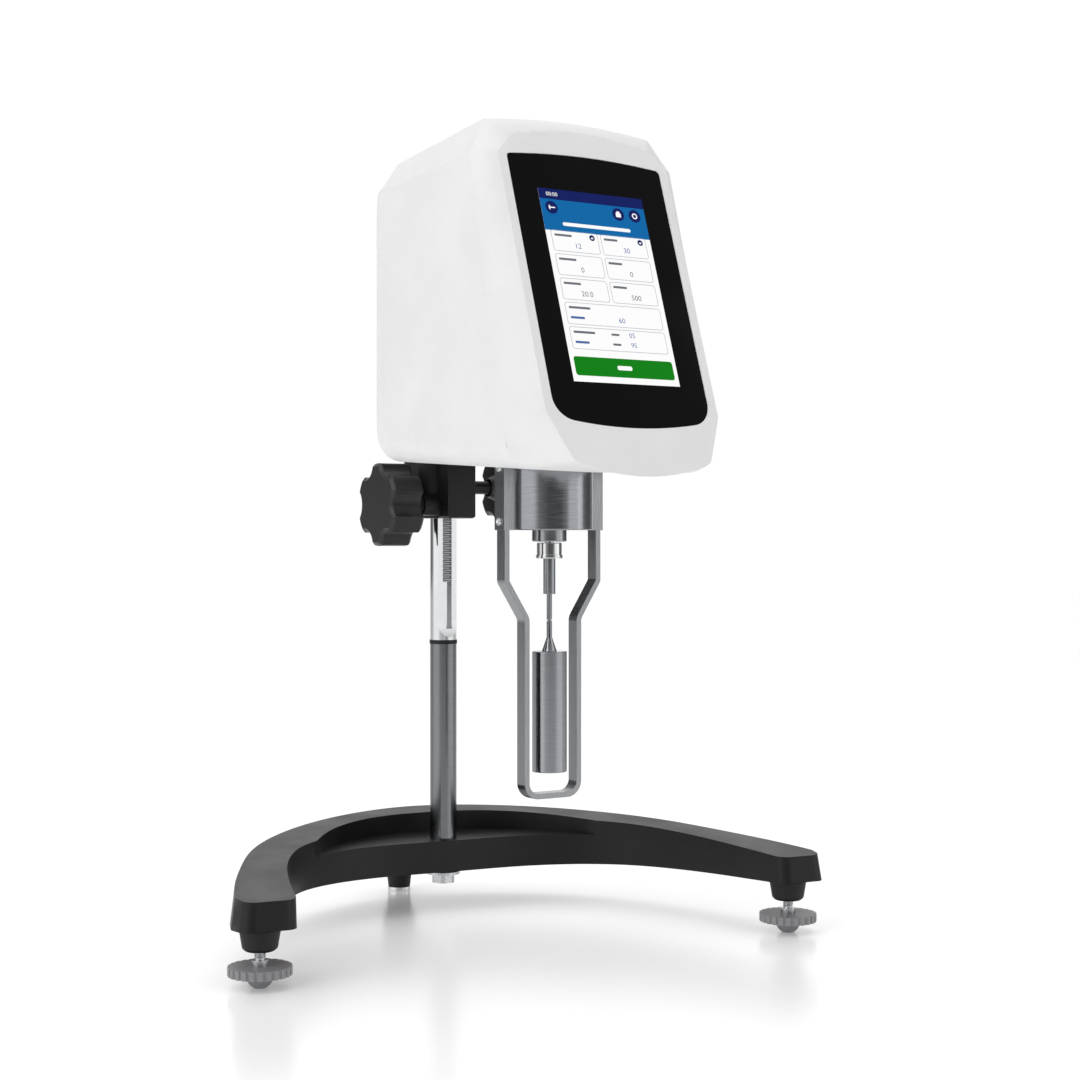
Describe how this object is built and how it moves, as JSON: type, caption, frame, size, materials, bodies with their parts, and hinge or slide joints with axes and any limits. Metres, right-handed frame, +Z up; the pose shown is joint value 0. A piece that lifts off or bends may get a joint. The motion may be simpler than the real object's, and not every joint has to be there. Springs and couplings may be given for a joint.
{
  "type": "rotational viscometer",
  "caption": "Bench rotational viscometer: a measuring head with a tilted touch display on a rack column and a crescent base, with a cylindrical spindle in a guard leg.",
  "frame": {"origin": "on the floor, in the middle of the machine's length and width", "axes": "+Z up, -Y towards the operator, +X to the operator's right"},
  "size_m": [0.3372, 0.296, 0.4428],
  "materials": {
    "cast_black": "satin enamel on cast iron",
    "foot_rubber": "moulded rubber",
    "chrome_ring": "polished plate",
    "wheel_grey": "moulded, fine texture",
    "zinc_steel": "zinc plated",
    "column_steel": "ground and polished",
    "rack_steel": "milled",
    "ring_black": "moulded ring",
    "knob_black": "moulded, satin",
    "bush_bronze": "turned",
    "cover_white": "moulded, fine grain",
    "panel_glass": "black backed, polished",
    "gasket_foam": "cut foam",
    "module_black": "moulded",
    "chassis_aluminium": "milled",
    "cup_steel": "turned and brushed",
    "shaft_steel": "ground",
    "gear_brass": "cut",
    "spring_steel": "blued strip",
    "board_green": "solder mask"
  },
  "bodies": {
    "base": {"base_casting": "cast_black", "left_leg_cap": "foot_rubber", "right_leg_cap": "foot_rubber", "left_leg_nut": "zinc_steel", "right_leg_nut": "zinc_steel", "rear_foot_cap": "foot_rubber", "rear_foot_ring": "chrome_ring", "column": "column_steel", "column_ring": "ring_black", "column_rack": "rack_steel", "column_washer": "zinc_steel", "column_bolt": "zinc_steel"},
    "left_stud": {"left_foot_stud": "zinc_steel"},
    "left_wheel": {"left_foot_wheel": "wheel_grey"},
    "right_stud": {"right_foot_stud": "zinc_steel"},
    "right_wheel": {"right_foot_wheel": "wheel_grey"},
    "carriage": {"clamp_body": "cast_black", "pinion_bush": "bush_bronze", "tension_pad": "bush_bronze", "tension_screw": "zinc_steel", "lock_plug": "bush_bronze"},
    "pinion": {"pinion_shaft": "column_steel", "height_knob": "knob_black"},
    "lock": {"lock_screw": "zinc_steel", "lock_knob": "knob_black"},
    "head": {"rear_cover": "cover_white", "front_bezel": "cover_white", "display_glass": "panel_glass", "display_gasket": "gasket_foam", "display_module": "module_black", "chassis_plate": "chassis_aluminium", "mounting_bar": "column_steel", "bar_bolt": "zinc_steel", "cover_screws": "zinc_steel", "gear_plate": "chassis_aluminium", "gear_plate_posts": "zinc_steel", "shaft_bearings": "shaft_steel", "drive_motor": "module_black", "disc_sensor": "module_black", "board_posts": "zinc_steel", "main_board": "board_green", "pivot_cup": "cup_steel", "jewel_bearing": "gear_brass", "left_bracket": "cup_steel", "right_bracket": "cup_steel", "bracket_screws": "zinc_steel", "guard_leg": "cup_steel"},
    "drive": {"drive_shaft": "shaft_steel", "drive_gear": "gear_brass", "spring_carrier": "shaft_steel", "drive_disc": "shaft_steel", "torque_spring": "spring_steel"},
    "motor": {"motor_pinion": "gear_brass"},
    "measuring": {"pivot_shaft": "shaft_steel", "pivot_disc": "shaft_steel", "spring_collet": "gear_brass", "coupling_nut": "cup_steel", "spindle": "cup_steel"}
  },
  "joints": [
    {"name": "left_foot_lift", "type": "slide", "parent": "base", "child": "left_stud", "axis": [0, 0, -1], "range_m": [-0.003, 0.006]},
    {"name": "left_wheel_turn", "type": "hinge", "parent": "left_stud", "child": "left_wheel", "pos_m": [-0.15264, -0.05526, 0.008], "axis": [0, 0, -1], "range_deg": [-1080, 2160]},
    {"name": "right_foot_lift", "type": "slide", "parent": "base", "child": "right_stud", "axis": [0, 0, -1], "range_m": [-0.003, 0.006]},
    {"name": "right_wheel_turn", "type": "hinge", "parent": "right_stud", "child": "right_wheel", "pos_m": [0.15264, -0.0895, 0.008], "axis": [0, 0, -1], "range_deg": [-1080, 2160]},
    {"name": "carriage_slide", "type": "slide", "parent": "base", "child": "carriage", "axis": [0, 0, 1], "range_m": [-0.04, 0.09]},
    {"name": "pinion_turn", "type": "hinge", "parent": "carriage", "child": "pinion", "pos_m": [0.01535, 0.05478, 0.2415], "axis": [1, 0, 0], "range_deg": [-1060, 480]},
    {"name": "lock_turn", "type": "hinge", "parent": "carriage", "child": "lock", "pos_m": [0.01535, 0.04796, 0.252], "axis": [1, 0, 0], "range_deg": [-180, 60]},
    {"name": "head_tilt", "type": "hinge", "parent": "carriage", "child": "head", "pos_m": [0.01535, 0.04, 0.286], "axis": [0, 1, 0], "range_deg": [-5, 5]},
    {"name": "drive_spin", "type": "hinge", "parent": "head", "child": "drive", "pos_m": [0.01535, -0.05554, 0.285], "axis": [0, 0, 1], "continuous": true},
    {"name": "motor_spin", "type": "hinge", "parent": "head", "child": "motor", "pos_m": [0.01535, -0.02354, 0.285], "axis": [0, 0, 1], "continuous": true},
    {"name": "spring_windup", "type": "hinge", "parent": "drive", "child": "measuring", "pos_m": [0.01535, -0.05554, 0.262], "axis": [0, 0, 1], "range_deg": [0, 85], "stiffness_Nm_per_rad": 0.0005}
  ],
  "couplings": [
    {"joint": "left_foot_lift", "follows": "left_wheel_turn", "m_per_rad": 0.00015915},
    {"joint": "right_foot_lift", "follows": "right_wheel_turn", "m_per_rad": 0.00015915},
    {"joint": "pinion_turn", "follows": "carriage_slide", "rad_per_m": -196.84},
    {"joint": "motor_spin", "follows": "drive_spin", "ratio": -3}
  ]
}
